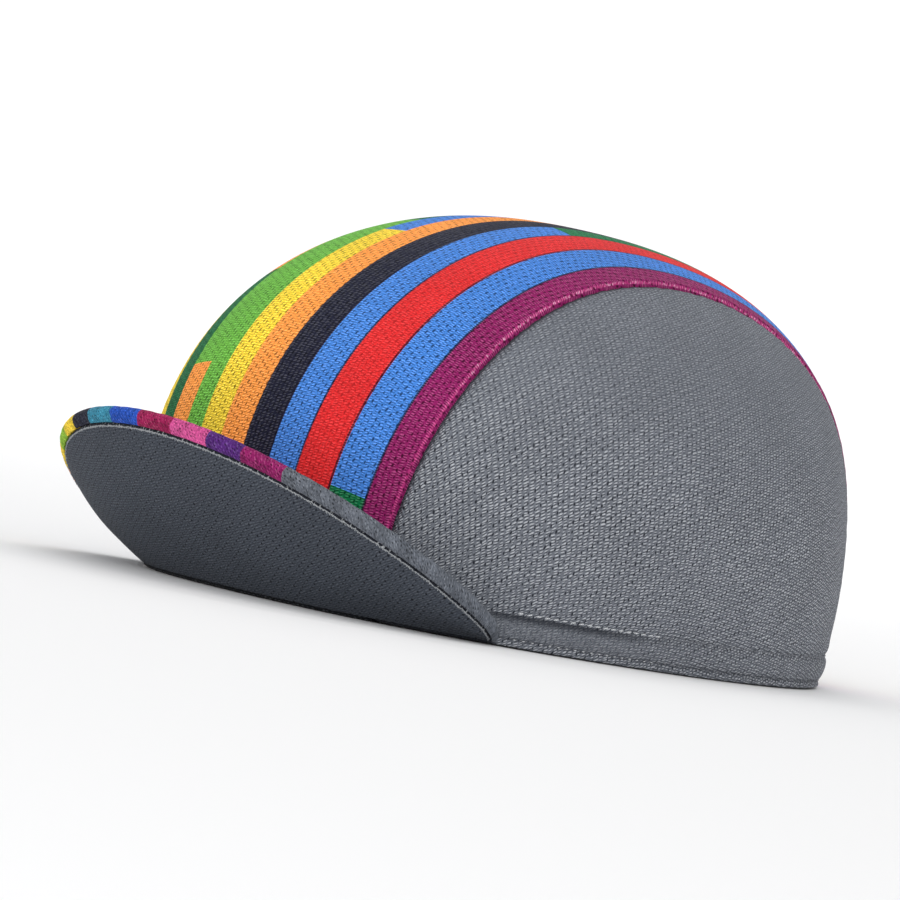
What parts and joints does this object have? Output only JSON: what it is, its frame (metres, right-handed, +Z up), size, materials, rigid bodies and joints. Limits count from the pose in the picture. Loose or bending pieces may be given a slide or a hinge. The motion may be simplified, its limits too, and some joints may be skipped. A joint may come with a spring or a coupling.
{
  "type": "cycling cap",
  "caption": "Soft three-panel cycling cap with a striped centre panel, a short turned-up peak, an inside sweatband and a covered elastic across the back.",
  "frame": {"origin": "middle of the floor under the cap, where its rim rests", "axes": "+Z up, -Y to the front with the peak, +Y to the back, +X to the wearer's left"},
  "size_m": [0.1608, 0.2314, 0.109],
  "materials": {
    "striped_mesh": "knitted mesh with printed lengthwise stripes, matt",
    "grey_mesh": "grey birdseye mesh knit, matt",
    "peak_cloth": "printed cloth in blocks of colour, matt",
    "peak_mesh": "dark slate mesh knit, matt",
    "sweat_towel": "dark olive brown absorbent band, matt",
    "elastic_cloth": "dark brown cloth over elastic, matt",
    "pale_mesh": "pale reverse of the mesh cloth, matt"
  },
  "bodies": {
    "root": {"centre_panel": "striped_mesh", "side_panel_left": "grey_mesh", "side_panel_right": "grey_mesh", "peak_top": "peak_cloth", "peak_under": "peak_mesh", "sweatband": "sweat_towel", "back_elastic": "elastic_cloth", "seam_allowance_left": "pale_mesh", "seam_allowance_right": "pale_mesh"}
  },
  "joints": []
}
